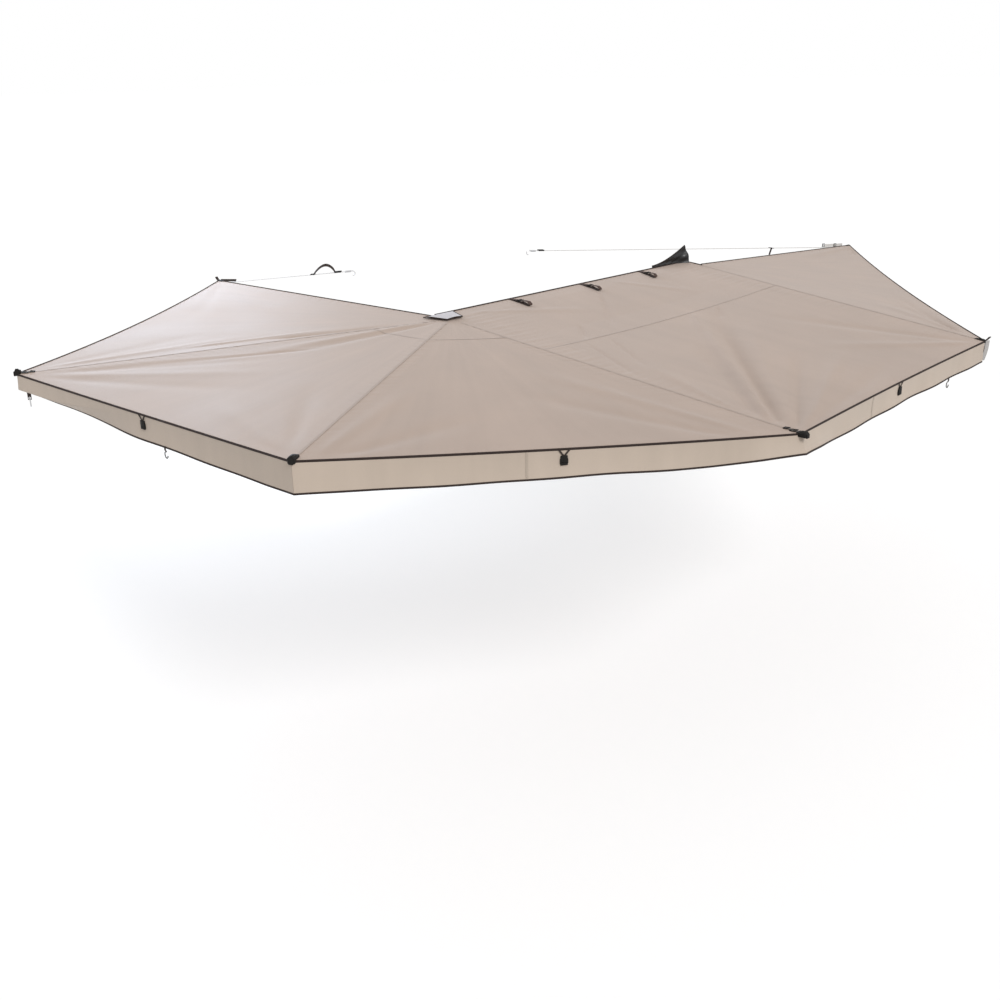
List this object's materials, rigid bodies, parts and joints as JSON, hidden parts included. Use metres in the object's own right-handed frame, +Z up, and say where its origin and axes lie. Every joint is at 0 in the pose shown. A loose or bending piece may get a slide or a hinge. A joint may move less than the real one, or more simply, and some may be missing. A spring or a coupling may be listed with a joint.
{
  "type": "vehicle side awning",
  "caption": "Freestanding wrap-around side awning for a roof rack, opened out on fold-out arms, with a taupe canopy, hem valance, tension straps and stowed legs.",
  "frame": {"origin": "middle of the middle bracket's mounting face", "axes": "+X forward along the backing rail, +Y towards the rack that carries the awning, +Z up"},
  "size_m": [7.2104, 4.9296, 0.5083],
  "materials": {
    "anodised_aluminium": "satin anodised",
    "black_casting": "matt black powder coat",
    "steel": "plated",
    "black_moulding": "matt",
    "black_rubber": "matt",
    "canvas": "ripstop weave",
    "valance_canvas": "ripstop weave",
    "flap_fabric": "plain weave",
    "black_vinyl": "coated, glossy",
    "webbing": "woven strap"
  },
  "bodies": {
    "rail_assembly": {"backing_rail": "anodised_aluminium", "rear_hub_bracket": "black_casting", "front_hub_bracket": "black_casting", "rear_pivot_pin": "steel", "front_pivot_pin": "steel", "mount_bracket_rear": "black_casting", "mount_bracket_middle": "black_casting", "mount_bracket_front": "black_casting", "hub_cover_flap": "flap_fabric", "bag_skirt": "black_vinyl", "bag_end_flap": "black_vinyl", "storage_strap_1": "webbing", "storage_strap_2": "webbing", "storage_strap_3": "webbing", "side_panel": "canvas", "side_valance": "valance_canvas", "front_tension_strap": "webbing", "rear_tension_strap": "webbing", "front_strap_hook": "steel", "rear_strap_hook": "steel"},
    "side_arm": {"side_arm_knuckle": "black_casting", "side_arm_channel": "anodised_aluminium", "side_arm_tip_cap": "black_moulding", "corner_panel": "canvas", "corner_valance": "valance_canvas"},
    "corner_arm": {"corner_arm_knuckle": "black_casting", "corner_arm_channel": "anodised_aluminium", "corner_arm_tip_cap": "black_moulding", "rear_panel": "canvas", "rear_valance": "valance_canvas"},
    "rear_arm": {"rear_arm_knuckle": "black_casting", "rear_arm_channel": "anodised_aluminium", "rear_arm_tip_cap": "black_moulding", "rear_wing_panel": "canvas", "rear_arm_tie_strap": "webbing"},
    "front_arm": {"front_arm_knuckle": "black_casting", "front_arm_channel": "anodised_aluminium", "front_arm_tip_cap": "black_moulding", "front_wing_panel": "canvas"},
    "rear_end_arm": {"rear_end_arm_knuckle": "black_casting", "rear_end_arm_tube": "anodised_aluminium", "rear_end_arm_tip_cap": "black_moulding"},
    "front_end_arm": {"front_end_arm_knuckle": "black_casting", "front_end_arm_tube": "anodised_aluminium", "front_end_arm_tip_cap": "black_moulding"},
    "side_leg": {"side_arm_leg_tube": "anodised_aluminium"},
    "side_leg_lower": {"side_arm_leg_slider": "anodised_aluminium", "side_arm_leg_foot": "black_rubber"},
    "corner_leg": {"corner_arm_leg_tube": "anodised_aluminium"},
    "corner_leg_lower": {"corner_arm_leg_slider": "anodised_aluminium", "corner_arm_leg_foot": "black_rubber"},
    "rear_leg": {"rear_arm_leg_tube": "anodised_aluminium"},
    "rear_leg_lower": {"rear_arm_leg_slider": "anodised_aluminium", "rear_arm_leg_foot": "black_rubber"},
    "front_leg": {"front_arm_leg_tube": "anodised_aluminium"},
    "front_leg_lower": {"front_arm_leg_slider": "anodised_aluminium", "front_arm_leg_foot": "black_rubber"},
    "carabiner": {"rear_arm_carabiner": "steel"}
  },
  "joints": [
    {"name": "canopy_fold", "type": "hinge", "parent": "rail_assembly", "child": "side_arm", "pos_m": [-1.27, -0.19, 0], "axis": [0, 0, -1], "range_deg": [-91.5, 0], "deforming": ["side_panel", "corner_panel", "rear_panel", "rear_wing_panel", "front_wing_panel", "side_valance", "corner_valance", "rear_valance", "front_tension_strap", "rear_tension_strap"]},
    {"name": "corner_arm_fold", "type": "hinge", "parent": "side_arm", "child": "corner_arm", "pos_m": [-1.27, -0.19, 0], "axis": [0, 0, -1], "range_deg": [-56.5, 0]},
    {"name": "rear_arm_fold", "type": "hinge", "parent": "corner_arm", "child": "rear_arm", "pos_m": [-1.27, -0.19, 0], "axis": [0, 0, -1], "range_deg": [-58.5, 0]},
    {"name": "rear_end_arm_fold", "type": "hinge", "parent": "rear_arm", "child": "rear_end_arm", "pos_m": [-1.27, -0.19, 0], "axis": [0, 0, -1], "range_deg": [-61.5, 0]},
    {"name": "front_arm_fold", "type": "hinge", "parent": "rail_assembly", "child": "front_arm", "pos_m": [1.27, -0.19, 0], "axis": [0, 0, 1], "range_deg": [-78, 0]},
    {"name": "front_end_arm_fold", "type": "hinge", "parent": "front_arm", "child": "front_end_arm", "pos_m": [1.27, -0.19, 0], "axis": [0, 0, 1], "range_deg": [-104.5, 0]},
    {"name": "side_leg_swing", "type": "hinge", "parent": "side_arm", "child": "side_leg", "pos_m": [-1.33251, -2.57718, -0.1365], "axis": [-0.9997, 0.0262, 0], "range_deg": [0, 90]},
    {"name": "side_leg_slide", "type": "slide", "parent": "side_leg", "child": "side_leg_lower", "axis": [0.0262, 0.9997, 0], "range_m": [0, 0.8]},
    {"name": "corner_leg_swing", "type": "hinge", "parent": "corner_arm", "child": "corner_leg", "pos_m": [-3.29514, -1.45545, -0.0185], "axis": [-0.5299, 0.848, 0], "range_deg": [0, 90]},
    {"name": "corner_leg_slide", "type": "slide", "parent": "corner_leg", "child": "corner_leg_lower", "axis": [0.848, 0.5299, 0], "range_m": [0, 0.8]},
    {"name": "rear_leg_swing", "type": "hinge", "parent": "rear_arm", "child": "rear_leg", "pos_m": [-3.4071, 0.87552, -0.0495], "axis": [0.4462, 0.8949, 0], "range_deg": [0, 90]},
    {"name": "rear_leg_slide", "type": "slide", "parent": "rear_leg", "child": "rear_leg_lower", "axis": [0.8949, -0.4462, 0], "range_m": [0, 0.8]},
    {"name": "front_leg_swing", "type": "hinge", "parent": "front_arm", "child": "front_leg", "pos_m": [0.77351, -2.52582, -0.0805], "axis": [-0.9781, 0.2079, 0], "range_deg": [0, 90]},
    {"name": "front_leg_slide", "type": "slide", "parent": "front_leg", "child": "front_leg_lower", "axis": [0.2079, 0.9781, 0], "range_m": [0, 0.8]},
    {"name": "carabiner_swing", "type": "hinge", "parent": "rear_arm", "child": "carabiner", "pos_m": [-3.4325, 0.90751, -0.1741], "axis": [-0.4462, -0.8949, 0], "range_deg": [-25, 25]}
  ],
  "couplings": [
    {"joint": "corner_arm_fold", "follows": "canopy_fold", "ratio": 0.61749},
    {"joint": "rear_arm_fold", "follows": "canopy_fold", "ratio": 0.63934},
    {"joint": "rear_end_arm_fold", "follows": "canopy_fold", "ratio": 0.67213},
    {"joint": "front_arm_fold", "follows": "canopy_fold", "ratio": 0.85246},
    {"joint": "front_end_arm_fold", "follows": "canopy_fold", "ratio": 1.1421}
  ]
}
